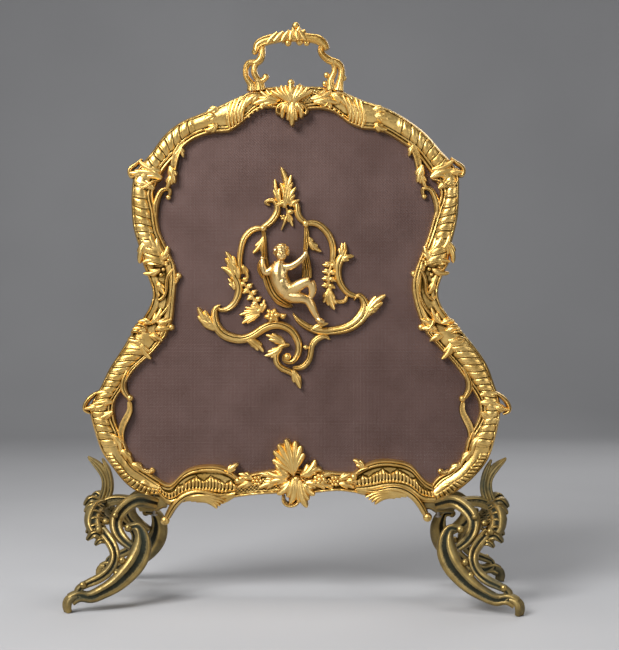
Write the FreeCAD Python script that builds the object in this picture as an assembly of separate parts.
import FreeCAD, Part
import math
import os

from FreeCAD import Vector

os.makedirs("parts", exist_ok=True)

# Fireplace screen, millimetres. The front faces -Y, +X is to the right seen from the front, +Z is up.
# The woven wire lies in the plane Y = 0 and the feet stand on Z = 0.

MESH_HALF = 0.5            # half the thickness of the woven wire
SEAT = -MESH_HALF          # plane that the castings lie on, in front of the wire
BACK_SEAT = MESH_HALF      # plane that the retaining strips lie on, behind the wire
STRIP_THICKNESS = 3.0
RAIL_HEIGHT = 14.0         # how far the frame castings stand forward
SHELL_HEIGHT = 17.0
RIB_DEPTH = 0.16           # share of the height that the ribs rise and fall
SECTIONS_PER_STATION = 3

SCREW_RADIUS = 1.5
SCREW_HEAD_RADIUS = 3.2
SCREW_HEAD_HEIGHT = 1.8
SCREW_BITE = 5.0           # how deep a screw goes into a casting
STUD_RADIUS = 1.5
NUT_RADIUS = 3.5
NUT_HEIGHT = 2.4

HANDLE_Y = -7.0
HANDLE_STUD_RADIUS = 2.0
HANDLE_STUD_LOW = 648.0
HANDLE_STUD_HIGH = 669.0
FINIAL_CENTRE = 739.5
FINIAL_RADIUS = 4.5

LEG_BLOCK_HALF_Y = 11.0
SADDLE_HALF_Y = 11.9
BLOCK_BOTTOM = 106.0
BLOCK_TOP = 140.0
LEG_STUD_X = 189.0
LEG_STUD_HEIGHT = 119.0
LEG_STUD_RADIUS = 2.5
LEG_STUD_HALF_LENGTH = 17.0
BLOCK_SCREW_X = 184.0
BLOCK_SCREW_Y = -6.0
BLOCK_SCREW_RADIUS = 2.0
BLOCK_SCREW_TOP = 139.0

FORWARD = Vector(0, -1, 0)

# Each station is the outer edge and the inner edge of the frame, as (X, Z) pairs.
TOP_RAIL = [((-88, 642), (-88, 602)), ((-70, 650), (-72, 612)), ((-50, 658), (-50, 630)),
            ((-25, 661), (-25, 632)), ((0, 661), (0, 629)), ((25, 661), (25, 631)),
            ((50, 658), (50, 626)), ((68, 651), (68, 613)), ((88, 642), (88, 605))]
RIGHT_SHOULDER = [((88, 642), (88, 605)), ((118, 632), (113, 601)), ((146, 616), (137, 587)),
                  ((169, 598), (153, 575)), ((189, 575), (168, 556)), ((208, 552), (179, 540)),
                  ((211, 526), (186, 521)), ((210, 500), (180, 500)), ((206, 476), (173, 476)),
                  ((200, 452), (164, 450)), ((197, 430), (156, 430))]
RIGHT_WAIST = [((197, 430), (156, 430)), ((189, 414), (151, 413)), ((184, 396), (150, 398)),
               ((187, 380), (153, 381)), ((197, 364), (159, 362)), ((212, 347), (168, 341))]
RIGHT_HIP = [((212, 347), (168, 341)), ((231, 324), (186, 321)), ((248, 298), (208, 296)),
             ((257, 273), (224, 273)), ((264, 249), (236, 250)), ((262, 225), (233, 227)),
             ((257, 204), (221, 204)), ((251, 185), (216, 186)), ((240, 167), (204, 169)),
             ((223, 149), (193, 161)), ((203, 134), (183, 156)), ((181, 122), (176, 147))]
RIGHT_SHELL = [((181, 122), (176, 147)), ((164, 122), (165, 154)), ((148, 131), (150, 171)),
               ((130, 136), (130, 178)), ((112, 134), (112, 179)), ((97, 131), (95, 175)),
               ((80, 134), (74, 162))]
BOTTOM_RAIL = [((80, 134), (74, 162)), ((57, 137), (57, 162)), ((30, 135), (30, 165)),
               ((0, 134), (0, 167)), ((-30, 133), (-30, 165)), ((-57, 131), (-57, 160)),
               ((-80, 128), (-74, 156))]
LEFT_SHELL = [((-80, 128), (-74, 156)), ((-95, 120), (-92, 168)), ((-112, 121), (-112, 171)),
              ((-130, 123), (-130, 169)), ((-148, 121), (-148, 160)), ((-163, 117), (-162, 147)),
              ((-179, 131), (-175, 150))]
LEFT_HIP = [((-179, 131), (-175, 150)), ((-204, 134), (-187, 158)), ((-224, 148), (-196, 163)),
            ((-240, 168), (-208, 170)), ((-252, 185), (-217, 186)), ((-260, 205), (-225, 205)),
            ((-266, 225), (-234, 226)), ((-268, 246), (-236, 250)), ((-256, 269), (-224, 271)),
            ((-246, 290), (-211, 292)), ((-231, 314), (-188, 314)), ((-212, 345), (-168, 338))]
LEFT_WAIST = [((-212, 345), (-168, 338)), ((-198, 363), (-160, 360)), ((-189, 380), (-158, 378)),
              ((-187, 397), (-156, 398)), ((-192, 412), (-155, 413)), ((-199, 430), (-157, 430))]
LEFT_SHOULDER = [((-199, 430), (-157, 430)), ((-204, 452), (-166, 450)), ((-211, 475), (-177, 475)),
                 ((-214, 500), (-181, 500)), ((-214, 526), (-185, 521)), ((-209, 551), (-180, 537)),
                 ((-191, 573), (-170, 555)), ((-173, 597), (-155, 572)), ((-149, 616), (-140, 588)),
                 ((-120, 628), (-117, 599)), ((-88, 642), (-88, 602))]

# Cross-section of a moulded rail: place from inner (0) to outer (1) edge, share of the height, and
# whether the ribs move it.
MOULDED = [(0.00, 0.00, 0), (0.00, 0.45, 0), (0.05, 0.66, 0), (0.13, 0.66, 0), (0.19, 0.46, 0),
           (0.34, 0.80, 1), (0.54, 0.92, 1), (0.74, 0.74, 1), (0.82, 0.56, 0), (0.90, 0.80, 0),
           (1.00, 0.52, 0), (1.00, 0.00, 0)]
# Cross-section of a shell: a raised ridge on the inner edge, a hollow with ribs and a thick lower lip.
SHELL = [(0.00, 0.00, 0), (0.00, 0.62, 0), (0.07, 0.92, 0), (0.16, 0.84, 0), (0.24, 0.52, 1),
         (0.42, 0.62, 1), (0.60, 0.50, 1), (0.68, 0.78, 0), (0.78, 0.80, 0), (0.86, 0.50, 0),
         (1.00, 0.40, 0), (1.00, 0.00, 0)]
# Cross-section of an applied ornament: place across from -1 to 1, and share of its depth.
LOW_ARCH = [(-1.0, 0.0), (-1.0, 0.35), (-0.6, 0.85), (0.0, 1.0), (0.6, 0.85), (1.0, 0.35), (1.0, 0.0)]
# Cross-section of a waist: a hollow between two raised edges.
CHANNEL = [(0.00, 0.00, 0), (0.00, 0.50, 0), (0.06, 0.74, 0), (0.15, 0.70, 0), (0.22, 0.44, 0),
           (0.50, 0.56, 0), (0.78, 0.46, 0), (0.86, 0.74, 0), (0.96, 0.66, 0), (1.00, 0.00, 0)]


def spread(points):
    """Distance along a row of points, which spaces the curve through them evenly."""
    places = [0.0]
    for a, b in zip(points, points[1:]):
        places.append(places[-1] + (b - a).Length)
    return places


def curve(points, places):
    """Smooth curve through the points, at the given places along it."""
    line = Part.BSplineCurve()
    line.interpolate(Points=points, Parameters=places)
    return line


def blend(values, share):
    """Value of an evenly spaced list at a share (0 to 1) of its length."""
    place = share * (len(values) - 1)
    low = min(int(place), len(values) - 2)
    return values[low] + (values[low + 1] - values[low]) * (place - low)


def loft(rings):
    """Closed solid through a row of closed polygons, with straight edges from each to the next."""
    wires = [Part.makePolygon(ring + [ring[0]]) for ring in rings]
    solid = Part.makeLoft(wires, True, True)
    if solid.Volume < 0:
        solid.reverse()
    return solid


def edges(stations):
    """Outer and inner edge curves of a rail, and the length that they share."""
    outer = [Vector(o[0], SEAT, o[1]) for o, i in stations]
    inner = [Vector(i[0], SEAT, i[1]) for o, i in stations]
    places = spread([(a + b) * 0.5 for a, b in zip(outer, inner)])
    return curve(outer, places), curve(inner, places), places[-1]


def rail(stations, profile, height, ribs=0, rib_from=0.0, rib_to=1.0):
    """Cast rail: the profile carried between the outer and inner edges, with ribs across its belly."""
    outer, inner, length = edges(stations)
    count = max(SECTIONS_PER_STATION * len(stations), 2 * ribs)
    rings = []
    for step in range(count + 1):
        share = step / count
        a = inner.value(share * length)
        b = outer.value(share * length)
        ribbed = ribs > 0 and rib_from <= share <= rib_to
        wave = (RIB_DEPTH if step % 2 else -RIB_DEPTH) if ribbed else 0.0
        ring = []
        for across, up, moved in profile:
            lift = height * up * (1.0 + wave * moved)
            ring.append(a + (b - a) * across + FORWARD * lift)
        rings.append(ring)
    return loft(rings)


def relief(points, halves, depths, seat=SEAT):
    """Flat-backed ornament along a planar curve, given as (X, Z) points, lying on the seat plane."""
    row = [Vector(x, seat, z) for x, z in points]
    places = spread(row)
    line = curve(row, places)
    count = SECTIONS_PER_STATION * (len(points) - 1) + 1
    rings = []
    for step in range(count + 1):
        share = step / count
        centre = line.value(share * places[-1])
        side = line.tangent(share * places[-1])[0].cross(FORWARD).normalize()
        half = blend(halves, share)
        depth = blend(depths, share)
        rings.append([centre + side * (u * half) + FORWARD * (v * depth) for u, v in LOW_ARCH])
    return loft(rings)


def limb(points, halves, depths, across):
    """Eight-sided bar along a curve in space; depths are measured along the across direction."""
    row = [Vector(*p) for p in points]
    places = spread(row)
    line = curve(row, places)
    count = SECTIONS_PER_STATION * (len(points) - 1) + 1
    rings = []
    for step in range(count + 1):
        share = step / count
        along = line.tangent(share * places[-1])[0]
        side = along.cross(across).normalize()
        depth_way = side.cross(along).normalize()
        half = blend(halves, share)
        depth = blend(depths, share)
        ring = []
        for corner in range(8):
            angle = math.radians(22.5 + 45.0 * corner)
            ring.append(line.value(share * places[-1]) + side * (half * math.cos(angle))
                        + depth_way * (depth * math.sin(angle)))
        rings.append(ring)
    return loft(rings)


def leaf(root, tip, half, depth, bend=0.0, seat=SEAT):
    """Pointed leaf from root to tip, both (X, Z), bowed sideways by bend."""
    dx = tip[0] - root[0]
    dz = tip[1] - root[1]
    length = math.hypot(dx, dz)
    middle = (root[0] + dx * 0.5 - dz / length * bend, root[1] + dz * 0.5 + dx / length * bend)
    return relief([root, middle, tip], [half * 0.6, half, half * 0.15],
                  [depth * 0.7, depth, depth * 0.3], seat)


def bead(x, z, radius, y=None):
    """Round bead resting on the seat plane, or centred at y."""
    return Part.makeSphere(radius, Vector(x, SEAT - radius * 0.9 if y is None else y, z))


def in_front(shape):
    """The part of a shape that stands forward of the wire."""
    block = Part.makeBox(900, 200, 900, Vector(-450, SEAT - 200, -10))
    return shape.common(block)


def joined(shapes):
    """One solid from touching or crossing pieces."""
    whole = shapes[0]
    for piece in shapes[1:]:
        whole = whole.fuse(piece)
    return whole


def fitted(shape, neighbours):
    """The shape with its neighbours' space removed, keeping its largest piece."""
    for other in neighbours:
        if shape.BoundBox.intersect(other.BoundBox):
            shape = shape.cut(other)
    return max(shape.Solids, key=lambda solid: solid.Volume)


def mirrored(shape):
    """Left and right halves of the feet match across X = 0."""
    return shape.mirror(Vector(0, 0, 0), Vector(1, 0, 0))


def rear(shape):
    """Front and rear halves of the feet match across Y = 0."""
    return shape.mirror(Vector(0, 0, 0), Vector(0, 1, 0))


nodes = {}

# ---- frame castings -------------------------------------------------------------------------------

nodes["top_rail"] = joined([
    rail(TOP_RAIL, MOULDED, RAIL_HEIGHT),
    leaf((-78, 612), (-94, 646), 9, 16, 3),
    leaf((78, 614), (94, 646), 9, 16, -3)])


def shoulder(stations, side):
    """Upper bend of the frame with a leafed knob at its corner."""
    body = rail(stations, MOULDED, RAIL_HEIGHT, ribs=22, rib_from=0.12, rib_to=0.92)
    knob = leaf((side * 196, 548), (side * 219, 546), 9, 13)
    lower_leaf = leaf((side * 186, 462), (side * 202, 432), 8, 14, side * 3)
    return joined([body, knob, lower_leaf])


def waist(stations, side, tip_height):
    """Narrow hollow part of the frame, with a scroll bead on its inner edge."""
    body = rail(stations, CHANNEL, RAIL_HEIGHT)
    scroll = relief([(side * 172, 372), (side * 166, 385), (side * 171, 396)], [3, 4, 2], [11, 12, 9])
    tip = in_front(bead(side * 152, tip_height, 4))
    return joined([body, scroll, tip])


def hip(stations, side):
    """Lower swell of the frame, ribbed, with a pointed knob at its widest place."""
    body = rail(stations, MOULDED, RAIL_HEIGHT, ribs=26, rib_from=0.10, rib_to=0.90)
    knob = leaf((side * 250, 246), (side * 277, 242), 10, 14)
    upper_knob = leaf((side * 196, 346), (side * 217, 345), 10, 14)
    return joined([body, knob, upper_knob])


def shell(stations, side, lift):
    """Arched shell beside the bottom rail, with a knob-ended tail."""
    body = rail(stations, SHELL, SHELL_HEIGHT, ribs=12, rib_from=0.15, rib_to=0.85)
    tail = relief([(side * 148, 128 + lift), (side * 162, 119 + lift), (side * 170, 99 + lift)],
                  [5, 4, 3.5], [14, 13, 9])
    tip = in_front(bead(side * 171, 98 + lift, 6))
    return joined([body, tail, tip])


nodes["left_shoulder_rail"] = shoulder(LEFT_SHOULDER, -1)
nodes["right_shoulder_rail"] = shoulder(RIGHT_SHOULDER, 1)
nodes["left_waist_rail"] = waist(LEFT_WAIST, -1, 416)
nodes["right_waist_rail"] = waist(RIGHT_WAIST, 1, 418)
nodes["left_hip_rail"] = hip(LEFT_HIP, -1)
nodes["right_hip_rail"] = hip(RIGHT_HIP, 1)
nodes["left_shell_rail"] = shell(LEFT_SHELL, -1, 0)
nodes["right_shell_rail"] = shell(RIGHT_SHELL, 1, 5)
nodes["bottom_rail"] = rail(BOTTOM_RAIL, CHANNEL, RAIL_HEIGHT)

# ---- applied castings on the frame ----------------------------------------------------------------


def upper_branch(side, drop):
    """Scroll that leaves the shoulder's inner edge, knots and runs back below a pierced eye."""
    stem = relief([(side * 150, 590 + drop), (side * 158, 568 + drop), (side * 160, 548 + drop),
                   (side * 166, 533 + drop), (side * 176, 523 + drop), (side * 181, 505 + drop)],
                  [2.5, 4.5, 4, 3.5, 4, 2.5], [9, 11, 11, 10, 10, 8])
    knot = leaf((side * 164, 556 + drop), (side * 157, 537 + drop), 4, 12)
    curl = relief([(side * 176, 528 + drop), (side * 170, 527 + drop), (side * 167, 519 + drop)],
                  [2, 3, 3], [8, 8, 7])
    return joined([stem, knot, curl, in_front(bead(side * 166, 518 + drop, 3.5))])


def lower_branch(side, shift):
    """Pair of small scrolls that leave the hip's inner edge round a narrow pierced eye."""
    top = relief([(side * (223 + shift), 286), (side * (224 + shift), 270), (side * (217 + shift), 257)],
                 [3, 5, 3], [8, 10, 9])
    low = relief([(side * (217 + shift), 254), (side * (216 + shift), 242), (side * (222 + shift), 228),
                  (side * (227 + shift), 212), (side * (224 + shift), 196)],
                 [3, 4, 5, 4, 2], [8, 10, 11, 10, 7])
    return joined([top, low, in_front(bead(side * (216 + shift), 256, 4.5))])


def fan(centre, reach, start, stop, count, half, depth, seat=SEAT):
    """Row of ribs that spread from a centre, as in a palmette or a fan shell."""
    ribs = []
    for step in range(count):
        turn = math.radians(start + (stop - start) * step / (count - 1))
        length = reach * (1.0 - 0.25 * abs(2.0 * step / (count - 1) - 1.0))
        tip = (centre[0] + length * math.cos(turn), centre[1] + length * math.sin(turn))
        ribs.append(leaf(centre, tip, half, depth, 0.0, seat))
    return ribs


def palmette():
    """Palmette over the middle of the top rail, with a drop that hangs into the opening."""
    spine = relief([(-4, 607), (-4, 616), (-4, 632), (-4, 652), (-5, 671)],
                   [1.5, 4, 8, 7, 3], [6, 12, 22, 20, 12])
    wings = [leaf((-4 + side * 3, 632), (-4 + side * 12, 616), 4, 14, side * 3) for side in (-1, 1)]
    return joined([spine] + wings + fan((-4, 634), 30, 38, 142, 5, 5, 21))


def cartouche():
    """Fan shell over the middle of the bottom rail, with two leaf lobes below it and one beside it."""
    boss = in_front(bead(-3, 156, 15, -8))
    rays = fan((-6, 158), 52, 42, 142, 7, 6.5, 22)
    lobes = [leaf((-8, 150), (-24, 122), 9, 20, -4), leaf((2, 150), (19, 118), 9, 20, 4),
             leaf((-3, 146), (-4, 117), 7, 19)]
    curl = relief([(8, 152), (16, 172), (26, 179), (34, 168)], [4, 5, 4, 2.5], [18, 20, 19, 16])
    foot = relief([(-14, 138), (-24, 150), (-30, 162)], [4, 5, 2], [18, 19, 16])
    return joined([boss] + rays + lobes + [curl, foot])


nodes["left_upper_branch"] = fitted(upper_branch(-1, 0), [nodes["left_shoulder_rail"]])
nodes["right_upper_branch"] = fitted(upper_branch(1, 0), [nodes["right_shoulder_rail"]])
nodes["left_lower_branch"] = fitted(lower_branch(-1, 0), [nodes["left_hip_rail"]])
nodes["right_lower_branch"] = fitted(lower_branch(1, -1), [nodes["right_hip_rail"]])
nodes["top_palmette"] = fitted(palmette(), [nodes["top_rail"]])
nodes["bottom_shell"] = fitted(cartouche(), [nodes["bottom_rail"]])

# ---- handle ---------------------------------------------------------------------------------------


def handle():
    """Scrolled handle over the top rail, open underneath for the fingers."""
    across = Vector(0, 1, 0)

    def arm(points, halves, depth):
        return limb([(x, HANDLE_Y, z) for x, z in points], halves, [depth] * len(halves), across)

    bow = arm([(-44, 692), (-48, 704), (-44, 715), (-30, 722), (-12, 723), (6, 723), (22, 721),
               (34, 713), (37, 702), (41, 694)], [4, 5, 6, 5, 5, 5, 5, 5.5, 5, 4], 6)
    left_loop = arm([(-44, 694), (-56, 688), (-61, 678), (-58, 666), (-56, 659)], [4, 4, 4, 4.5, 6], 6)
    left_foot = arm([(-46, 694), (-50, 684), (-50, 674), (-42, 668), (-44, 660)], [3.5, 4, 4, 4, 6], 6)
    right_loop = arm([(40, 696), (52, 691), (57, 681), (56, 668), (54, 659)], [4, 4, 4, 4.5, 6], 6)
    right_foot = arm([(41, 694), (44, 684), (44, 674), (44, 660)], [3.5, 4, 4, 6], 6)
    knobs = [bead(x, z, r, HANDLE_Y) for x, z, r in
             [(-54, 707, 4), (-39, 673, 4), (14, 718, 4), (31, 709, 4), (61, 672, 3.5)]]
    return joined([bow, left_loop, left_foot, right_loop, right_foot] + knobs)


def finial():
    """Crest of five leaves with a bead on top, standing on the handle's bow."""
    crest = []
    for turn in (-60, -32, 0, 32, 60):
        tip = (1 + 15 * math.sin(math.radians(turn)), HANDLE_Y, 722 + 15 * math.cos(math.radians(turn)))
        middle = ((1 + tip[0]) / 2, HANDLE_Y, (722 + tip[2]) / 2)
        crest.append(limb([(1, HANDLE_Y, 722), middle, tip], [3, 4, 1], [5, 5, 2], Vector(0, 1, 0)))
    return joined(crest + [bead(0, FINIAL_CENTRE, FINIAL_RADIUS, HANDLE_Y)])


handle_studs = [Part.makeCylinder(HANDLE_STUD_RADIUS, HANDLE_STUD_HIGH - HANDLE_STUD_LOW,
                                  Vector(x, HANDLE_Y, HANDLE_STUD_LOW)) for x in (-57, 55)]
nodes["handle"] = fitted(handle(), [nodes["top_rail"]])
nodes["handle_finial"] = fitted(finial(), [nodes["handle"]])

# ---- centre medallion -----------------------------------------------------------------------------

THIN = 7.0                 # usual thickness of the medallion's scrolls
HEAD_RADIUS = 10.5


def upper_scroll(side):
    """Upper C-scroll of the medallion with the curl at its top and the leaves at its waist."""
    if side < 0:
        top = relief([(-39, 510), (-31, 512), (-25, 504), (-28, 492), (-37, 482), (-44, 477)],
                     [2, 3.5, 4, 4, 3.5, 3.5], [6, 8, 8, 8, 8, 8])
        c = relief([(-42, 477), (-56, 475), (-67, 464), (-72, 448), (-72, 430), (-75, 412)],
                   [3.5, 3.5, 3.5, 3.5, 3.5, 3], [8, THIN, THIN, THIN, THIN, THIN])
        s = relief([(-95, 426), (-84, 420), (-77, 408), (-75, 394), (-82, 380), (-96, 373)],
                   [1.5, 4, 5, 4.5, 4, 2.5], [5, 8, 9, 8, 7, 6])
        leaves = [leaf((-82, 419), (-90, 446), 4, 8, -2), leaf((-73, 434), (-64, 415), 4, 8, 2),
                  leaf((-78, 402), (-86, 410), 3, 7)]
        return joined([top, c, s] + leaves)
    top = relief([(-3, 513), (2, 506), (2, 496), (8, 488), (14, 483)], [2, 3.5, 3.5, 3.5, 3.5],
                 [6, 8, 8, 8, 8])
    c = relief([(12, 483), (26, 482), (38, 475), (46, 462), (48, 446), (46, 430)],
               [3.5, 3.5, 3.5, 3.5, 3.5, 3], [8, THIN, THIN, THIN, THIN, THIN])
    s = relief([(62, 457), (60, 445), (54, 430), (54, 414), (60, 400), (72, 391), (82, 388)],
               [2, 4, 4.5, 4, 3.5, 3, 2.5], [5, 8, 9, 8, 7, 7, 7])
    return joined([top, c, s, leaf((58, 437), (73, 440), 3, 7, 2), leaf((48, 440), (53, 418), 4, 7)])


def lower_left_scroll():
    """Long S-scroll under the figure, ending in the spiral at the foot of the medallion."""
    body = relief([(-99, 376), (-106, 366), (-104, 350), (-93, 339), (-76, 334), (-58, 337), (-42, 346),
                   (-26, 352), (-11, 349), (-1, 339), (4, 325), (1, 311), (-8, 304), (-15, 309)],
                  [2.5, 4, 5, 5, 5, 5, 5, 5, 5, 5, 4.5, 4, 3.5, 4],
                  [7, 8, 9, 9, 9, 9, 9, 9, 9, 9, 9, 9, 9, 8])
    outer_leaf = leaf((-106, 350), (-127, 373), 5, 8, 3)
    return joined([body, outer_leaf, leaf((-56, 332), (-44, 320), 4, 7)])


def lower_right_scroll():
    """C-scroll under the figure on the right, with the leaf that points outward."""
    body = relief([(79, 388), (87, 378), (84, 364), (74, 353), (58, 347), (38, 345), (20, 347),
                   (8, 355), (-4, 366)], [3, 5, 5, 5, 4.5, 4.5, 4, 4, 1.5],
                  [7, 9, 9, 9, 9, 9, 9, 8, 5])
    return joined([body, leaf((88, 364), (116, 390), 5, 8, 3)])


def volute():
    """Ring of scrolls below the figure with its hanging leaf and side branch."""
    ring = relief([(-10, 327), (-22, 322), (-26, 310), (-21, 298), (-9, 291), (4, 283), (5, 272)],
                  [3, 3.5, 3.5, 3.5, 4, 4.5, 1.5], [8, 8, 8, 8, 8, 8, 5])
    branch = relief([(-2, 297), (10, 300), (18, 311), (20, 324), (30, 335), (43, 334)],
                    [3, 3.5, 3.5, 3.5, 4, 1.5], [8, 8, 8, 8, 7, 4])
    leaves = [leaf((-20, 323), (-39, 314), 4, 7, 2), leaf((-16, 325), (-38, 336), 4, 7, -2)]
    return joined([ring, branch] + leaves)


def flame():
    """Flame leaf on top of the medallion."""
    middle = relief([(-14, 505), (-16, 520), (-13, 536), (-21, 554)], [5, 7, 6, 1.5], [8, 11, 10, 5])
    sides = [leaf((-18, 512), (-28, 538), 5, 9, 2), leaf((-10, 512), (-1, 526), 5, 9, 2),
             leaf((-8, 508), (2, 514), 3, 8)]
    base = relief([(-26, 506), (-14, 509), (0, 506)], [2.5, 4, 2.5], [8, 9, 8])
    twig = relief([(-15, 506), (-11, 496), (-18, 476)], [2, 2.5, 1.2], [7, 6, 4])
    return joined([middle] + sides + [base, twig, leaf((-11, 498), (-3, 481), 3, 6)])


def putto():
    """Child's body seated on the cloth and leaning back, with one knee raised and both arms out."""
    across = Vector(0, 1, 0)

    def part(points, halves, depths):
        return limb(points, halves, depths, across)

    body = [
        part([(-21, -14, 430), (-21, -15, 416), (-15, -16, 402), (-8, -15, 391)], [8, 11, 10.5, 9],
             [7, 9, 9.5, 9]),
        part([(-20, -14, 438), (-21, -14, 433), (-21, -14, 426)], [4, 5, 6], [4, 5, 6]),
        Part.makeSphere(HEAD_RADIUS, Vector(-18, -17, 444))]
    arms = [
        part([(-14, -16, 426), (-5, -17, 428), (5, -17, 434), (13, -16, 442)], [4.5, 4, 3.2, 3],
             [4.5, 4, 3.2, 3]),
        part([(-27, -13, 426), (-32, -13, 422), (-37, -13, 419)], [4.5, 4.2, 3.8], [4.5, 4.2, 3.8]),
        Part.makeSphere(4.1, Vector(-37, -13, 419)),
        part([(-37, -13, 419), (-41, -13, 428), (-43, -12, 436)], [3.8, 3.4, 3], [3.8, 3.4, 3])]
    hanging_leg = [
        part([(-10, -14, 392), (2, -16, 388), (15, -18, 386)], [8, 7, 5.5], [7, 7, 5.5]),
        Part.makeSphere(5.7, Vector(16, -18, 385)),
        part([(16, -18, 385), (23, -16, 371), (29, -14, 360)], [5.2, 4.4, 3.2], [5.2, 4.4, 3.2]),
        part([(27, -14, 360), (32, -15, 358), (37, -15, 356)], [3, 3.2, 2.4], [3, 3.2, 2.4])]
    raised_leg = [
        part([(-6, -17, 396), (7, -20, 402), (20, -22, 406)], [7, 6.5, 5.5], [6, 6, 5.5]),
        Part.makeSphere(5.8, Vector(20, -22, 406)),
        part([(20, -22, 406), (20, -20, 396), (17, -18, 386)], [5.2, 4.4, 3.6], [5.2, 4.4, 3.6])]
    return joined(body + arms + hanging_leg + raised_leg)


def swing():
    """Cloth sling of the swing: the left part with the seat under the figure, and the right part."""
    left = relief([(-42, 472), (-41, 458), (-41, 440), (-39, 420), (-32, 400), (-20, 384), (-5, 377)],
                  [2.5, 3, 4, 5, 6, 6.5, 3], [7, 7, 8, 8, 8, 7, 6])
    right = relief([(14, 479), (15, 462), (13, 446), (13, 430), (14, 412)], [2.5, 4, 3, 5.5, 6],
                   [7, 8, 8, 9, 8])
    tails = [leaf((-43, 463), (-55, 446), 4, 6, 2), leaf((18, 462), (32, 448), 4, 6, -2)]
    return joined([left, tails[0]]), joined([right, tails[1]])


def garland():
    """Leaves and a flower that run along the left of the medallion's foot."""
    stem = relief([(-68, 408), (-60, 394), (-52, 382), (-46, 371)], [1.5, 3, 3, 2.5], [5, 6, 6, 6])
    leaves = [leaf((-62, 397), (-55, 403), 2.5, 5), leaf((-56, 388), (-61, 380), 2.5, 5),
              leaf((-48, 376), (-41, 384), 2.5, 5), leaf((-46, 372), (-64, 372), 3, 6),
              leaf((-46, 368), (-71, 366), 3.5, 6), leaf((-46, 366), (-68, 355), 3.5, 6)]
    link = relief([(-48, 370), (-40, 364), (-33, 363)], [2.5, 3, 3], [7, 9, 11])
    petals = fan((-30, 364), 9, 10, 298, 5, 4, 12)
    return joined([stem] + leaves + [link] + petals + [in_front(bead(-30, 364, 4, -11))])


def spray():
    """Leaf spray inside the right of the medallion."""
    stem = relief([(47, 436), (45, 420), (43, 402), (47, 388), (50, 374)], [2.5, 3.5, 4, 4.5, 1.5],
                  [6, 7, 7, 7, 5])
    leaves = [leaf((46, 432), (38, 436), 2.5, 5), leaf((45, 420), (36, 420), 3, 6),
              leaf((44, 408), (34, 408), 3, 6), leaf((44, 396), (36, 383), 3.5, 6),
              leaf((46, 400), (56, 398), 2.5, 5)]
    curl = relief([(50, 384), (60, 382), (66, 388)], [2, 2.5, 2], [5, 6, 5])
    return joined([stem] + leaves + [curl])


nodes["medallion_upper_left_scroll"] = upper_scroll(-1)
nodes["medallion_upper_right_scroll"] = upper_scroll(1)
nodes["medallion_lower_left_scroll"] = fitted(
    lower_left_scroll(), [nodes["medallion_upper_left_scroll"]])
nodes["medallion_lower_right_scroll"] = fitted(
    lower_right_scroll(), [nodes["medallion_upper_right_scroll"], nodes["medallion_lower_left_scroll"]])
nodes["medallion_volute"] = fitted(
    volute(), [nodes["medallion_lower_left_scroll"], nodes["medallion_lower_right_scroll"]])
nodes["medallion_flame"] = fitted(
    flame(), [nodes["medallion_upper_left_scroll"], nodes["medallion_upper_right_scroll"]])
left_cloth, right_cloth = swing()
nodes["swing_left_cloth"] = fitted(left_cloth, [nodes["medallion_upper_left_scroll"]])
nodes["swing_right_cloth"] = fitted(right_cloth, [nodes["medallion_upper_right_scroll"]])
nodes["putto"] = fitted(putto(), [nodes["swing_left_cloth"], nodes["swing_right_cloth"],
                                  nodes["medallion_lower_right_scroll"]])
nodes["medallion_garland"] = fitted(
    garland(), [nodes["medallion_upper_left_scroll"], nodes["medallion_lower_left_scroll"]])
nodes["medallion_leaf_spray"] = fitted(spray(), [nodes["medallion_upper_right_scroll"]])

# ---- feet -----------------------------------------------------------------------------------------


def front_leg():
    """Left front foot: an upper and a large lower C-scroll, a leafed outer scroll and a clawed toe."""
    plan = Vector(0.42, -0.91, 0)
    upper = limb([(-184, -4, 118), (-191, -15, 122), (-203, -27, 126), (-218, -39, 118),
                  (-226, -50, 102), (-220, -60, 88), (-200, -69, 73)],
                 [7, 7, 7.5, 7.5, 7, 7, 6], [5, 5, 6, 6, 6, 6, 6], plan)
    big = limb([(-206, -66, 100), (-193, -68, 96), (-189, -71, 80), (-193, -75, 63), (-204, -82, 46),
                (-219, -90, 31), (-238, -97, 22), (-252, -102, 21), (-261, -105, 27)],
               [4, 8, 11, 11.5, 10.5, 8.5, 7, 6, 4.5], [6, 7, 8, 8, 8, 7.5, 7, 6.5, 5], plan)
    outer = limb([(-240, -64, 90), (-228, -73, 80), (-222, -81, 65), (-226, -87, 51), (-238, -94, 40),
                  (-251, -100, 34), (-260, -104, 31)],
                 [6, 5.5, 5, 5, 5, 4.5, 3.5], [5, 5.5, 5.5, 5.5, 5, 5, 4], plan)
    knob = limb([(-252, -LEG_BLOCK_HALF_Y, 118), (-255, -30, 118), (-256, -46, 108), (-252, -58, 96),
                 (-240, -66, 86)], [6, 8.5, 9.5, 9, 6], [6, 8, 9, 8, 6], plan)
    toe = limb([(-254, -102, 20), (-266, -106, 22), (-275, -109, 17), (-277, -110, 8), (-276, -110, -4)],
               [5, 6.5, 8, 8, 7], [6, 8, 9, 9, 8], plan)
    floor = Part.makeBox(400, 400, 60, Vector(-400, -300, -60))
    beads = [Part.makeSphere(6.5, Vector(-261, -105, 30)), Part.makeSphere(4.5, Vector(-215, -80, 62)),
             Part.makeSphere(4, Vector(-218, -86, 46))]
    return joined([upper, big, toe] + beads + [outer, knob]).cut(floor)


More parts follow.
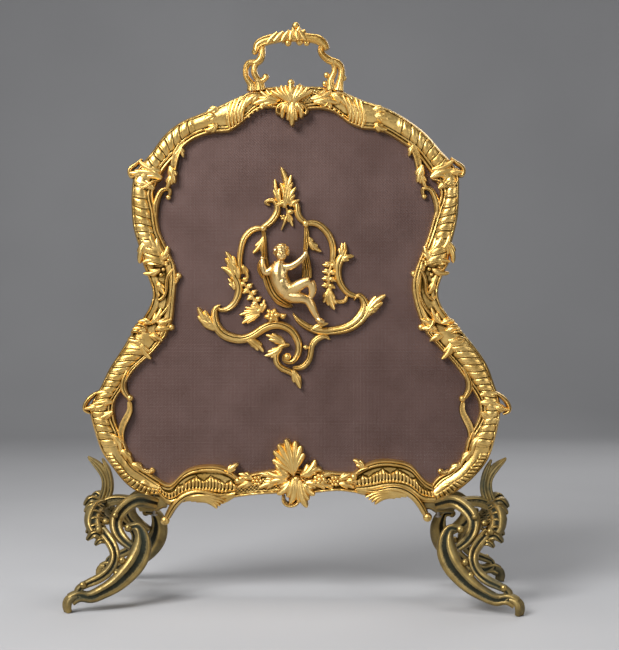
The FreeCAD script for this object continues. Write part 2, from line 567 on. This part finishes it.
def horn():
    """Left horn: a tapering double-ridged scroll that rises beside the hip, over both feet."""
    across = Vector(0, 1, 0)
    body = limb([(-253, 0, 112), (-246, 0, 128), (-244, 0, 144), (-248, 0, 160), (-258, 0, 173),
                 (-272, 0, 182)], [9, 7, 6.5, 6, 5, 2], [10, 8, 7, 7, 5.5, 2.5], across)
    saddle = limb([(-250, 0, 119), (-232, 0, 122), (-214, 0, 122), (-196, 0, 119)],
                  [7, 6, 6, 7], [SADDLE_HALF_Y] * 4, across)
    return joined([body, saddle])


def leg_block():
    """Block under the left hip of the frame, between the front and rear feet."""
    return Part.makeBox(26, 2 * LEG_BLOCK_HALF_Y, BLOCK_TOP - BLOCK_BOTTOM,
                        Vector(-200, -LEG_BLOCK_HALF_Y, BLOCK_BOTTOM))


for side, turned in (("left", lambda shape: shape), ("right", mirrored)):
    rails = [nodes[side + "_hip_rail"], nodes[side + "_shell_rail"]]
    nodes[side + "_leg_block"] = fitted(turned(leg_block()), rails)
    nodes[side + "_horn"] = fitted(turned(horn()), rails + [nodes[side + "_leg_block"]])
    beside_leg = rails + [nodes[side + "_leg_block"], nodes[side + "_horn"]]
    nodes[side + "_front_leg"] = fitted(turned(front_leg()), beside_leg)
    nodes[side + "_rear_leg"] = fitted(turned(rear(front_leg())), beside_leg)

# ---- wire panel, retaining strips and fasteners ---------------------------------------------------

RING = [TOP_RAIL, RIGHT_SHOULDER, RIGHT_WAIST, RIGHT_HIP, RIGHT_SHELL,
        BOTTOM_RAIL, LEFT_SHELL, LEFT_HIP, LEFT_WAIST, LEFT_SHOULDER]
RING_NODES = ["top_rail", "right_shoulder_rail", "right_waist_rail", "right_hip_rail",
              "right_shell_rail", "bottom_rail", "left_shell_rail", "left_hip_rail",
              "left_waist_rail", "left_shoulder_rail"]
WIRE_EDGE = 0.45           # how far under the rails the wire reaches, from their inner edge
STRIP_INNER = 0.16
STRIP_OUTER = 0.62
SCREW_LINE = 0.34
STEPS_PER_RAIL = 12
SMALLEST_STEP = 1e-6       # keeps a strip's last place on the rail that it ends on
LONG_RAIL_SCREWS = (0.15, 0.32, 0.68, 0.85)
SHORT_RAIL_SCREWS = (0.25, 0.75)
SHORT_RAILS = ("right_waist_rail", "left_waist_rail", "right_shell_rail", "left_shell_rail")
# Each strip runs from one place to another round the ring: rail number plus share along that rail.
STRIPS = {"back_strip_top": (-0.5, 1.5), "back_strip_right_upper": (1.5, 3.4),
          "back_strip_right_lower": (3.4, 4.5), "back_strip_bottom": (4.5, 6.5),
          "back_strip_left_lower": (6.5, 7.6), "back_strip_left_upper": (7.6, 9.5)}
RING_EDGES = [edges(stations) for stations in RING]


def on_ring(place, across):
    """Point of the frame at a place round the ring, between the inner (0) and outer (1) edge."""
    number = math.floor(place) % len(RING)
    outer, inner, length = RING_EDGES[number]
    along = (place - math.floor(place)) * length
    return inner.value(along) + (outer.value(along) - inner.value(along)) * across


def plate(corners, back, thickness):
    """Flat sheet with the given corners, standing behind the plane Y = back."""
    row = [Vector(p.x, back, p.z) for p in corners]
    face = Part.Face(Part.makePolygon(row + [row[0]]))
    return face.extrude(Vector(0, thickness, 0))


def strip(start, stop):
    """Retaining strip that follows the ring between two places."""
    count = round((stop - start) * STEPS_PER_RAIL)
    places = [start + (stop - start) * step / count for step in range(count + 1)]
    places[-1] -= SMALLEST_STEP
    far = [on_ring(place, STRIP_OUTER) for place in places]
    near = [on_ring(place, STRIP_INNER) for place in reversed(places)]
    return plate(far + near, BACK_SEAT, STRIP_THICKNESS)


def rod(x, z, radius, front, back):
    """Round bar along Y between two planes."""
    return Part.makeCylinder(radius, back - front, Vector(x, front, z), Vector(0, 1, 0))


def hexagon(x, z, radius, front, height):
    """Six-sided nut along Y."""
    angles = [math.radians(60 * k) for k in range(6)]
    corners = [Vector(x + radius * math.cos(a), front, z + radius * math.sin(a)) for a in angles]
    return plate(corners, front, height)


def without(shape, tools):
    """The shape with holes cut by tools that reach it."""
    near = [tool for tool in tools if tool.BoundBox.intersect(shape.BoundBox)]
    return shape.cut(Part.makeCompound(near)) if near else shape


wire_places = [step / STEPS_PER_RAIL for step in range(len(RING) * STEPS_PER_RAIL)]
wire_panel = plate([on_ring(place, WIRE_EDGE) for place in wire_places], SEAT, 2 * MESH_HALF)

screw_points = []
for number, name in enumerate(RING_NODES):
    shares = SHORT_RAIL_SCREWS if name in SHORT_RAILS else LONG_RAIL_SCREWS
    screw_points += [on_ring(number + share, SCREW_LINE) for share in shares]
strip_back = BACK_SEAT + STRIP_THICKNESS
head_back = strip_back + SCREW_HEAD_HEIGHT
screw_shanks = [rod(p.x, p.z, SCREW_RADIUS, SEAT - SCREW_BITE, strip_back) for p in screw_points]
screw_heads = [rod(p.x, p.z, SCREW_HEAD_RADIUS, strip_back, head_back) for p in screw_points]

for name in RING_NODES:
    nodes[name] = without(nodes[name], screw_shanks)
for name, (start, stop) in STRIPS.items():
    nodes[name] = without(strip(start, stop), screw_shanks)
nodes["strip_screws"] = Part.makeCompound([a.fuse(b) for a, b in zip(screw_shanks, screw_heads)])

# Places of the studs that hold each medallion casting, as (X, Z).
MEDALLION_STUDS = {"medallion_upper_left_scroll": [(-42, 478), (-76, 404)],
                   "medallion_upper_right_scroll": [(14, 483), (54, 420)],
                   "medallion_lower_left_scroll": [(-100, 344), (-42, 346)],
                   "medallion_lower_right_scroll": [(22, 347), (84, 364)],
                   "medallion_volute": [(-23, 301), (19, 316)],
                   "medallion_flame": [(-15, 522)],
                   "swing_left_cloth": [(-38, 416)],
                   "swing_right_cloth": [(14, 425)],
                   "medallion_garland": [(-30, 364)],
                   "medallion_leaf_spray": [(44, 408)]}
MEDALLION_STUD_BITE = 4.0
PUTTO_STUD = (-15, 404)
PUTTO_STUD_BITE = 12.0
WASHER_RADIUS = 5.0
WASHER_THICKNESS = 0.8
STUD_TAIL = BACK_SEAT + WASHER_THICKNESS + NUT_HEIGHT + 1.0

stud_points = [point for points in MEDALLION_STUDS.values() for point in points]
studs = [rod(x, z, STUD_RADIUS, SEAT - MEDALLION_STUD_BITE, STUD_TAIL) for x, z in stud_points]
putto_stud = rod(PUTTO_STUD[0], PUTTO_STUD[1], STUD_RADIUS, SEAT - PUTTO_STUD_BITE, STUD_TAIL)
all_studs = studs + [putto_stud]
for name in MEDALLION_STUDS:
    nodes[name] = without(nodes[name], all_studs)
nodes["putto"] = without(nodes["putto"], [putto_stud])
nodes["medallion_studs"] = Part.makeCompound(studs)
nodes["putto_stud"] = putto_stud
nut_front = BACK_SEAT + WASHER_THICKNESS
washers = [rod(x, z, WASHER_RADIUS, BACK_SEAT, nut_front) for x, z in stud_points + [PUTTO_STUD]]
nuts = [hexagon(x, z, NUT_RADIUS, nut_front, NUT_HEIGHT) for x, z in stud_points + [PUTTO_STUD]]
nodes["medallion_washers"] = Part.makeCompound([without(washer, all_studs) for washer in washers])
nodes["medallion_nuts"] = Part.makeCompound([without(nut, all_studs) for nut in nuts])
nodes["wire_mesh"] = without(wire_panel, screw_shanks + all_studs)

nodes["top_rail"] = without(nodes["top_rail"], handle_studs)
nodes["handle"] = without(nodes["handle"], handle_studs)
nodes["handle_studs"] = Part.makeCompound(handle_studs)

leg_studs = []
block_screws = []
for side, sign in (("left", -1), ("right", 1)):
    leg_stud = rod(sign * LEG_STUD_X, LEG_STUD_HEIGHT, LEG_STUD_RADIUS,
                   -LEG_STUD_HALF_LENGTH, LEG_STUD_HALF_LENGTH)
    foot = Vector(sign * BLOCK_SCREW_X, BLOCK_SCREW_Y, BLOCK_BOTTOM - SCREW_HEAD_HEIGHT)
    head = Part.makeCylinder(2 * BLOCK_SCREW_RADIUS, SCREW_HEAD_HEIGHT, foot)
    shank = Part.makeCylinder(BLOCK_SCREW_RADIUS, BLOCK_SCREW_TOP - foot.z, foot)
    leg_studs.append(leg_stud)
    block_screws.append(head.fuse(shank))
    for name in ("_leg_block", "_front_leg", "_rear_leg", "_horn"):
        nodes[side + name] = without(nodes[side + name], [leg_stud, block_screws[-1]])
    for name in ("_hip_rail", "_shell_rail"):
        nodes[side + name] = without(nodes[side + name], [block_screws[-1]])
nodes["leg_studs"] = Part.makeCompound(leg_studs)
nodes["block_screws"] = Part.makeCompound(block_screws)

for name, shape in nodes.items():
    box = shape.BoundBox
    print("%-30s %s %d %8.0f  x %.0f..%.0f  y %.1f..%.1f  z %.1f..%.1f" % (
        name, shape.isValid(), len(shape.Solids), shape.Volume,
        box.XMin, box.XMax, box.YMin, box.YMax, box.ZMin, box.ZMax))
    shape.exportStep("parts/%s.step" % name)
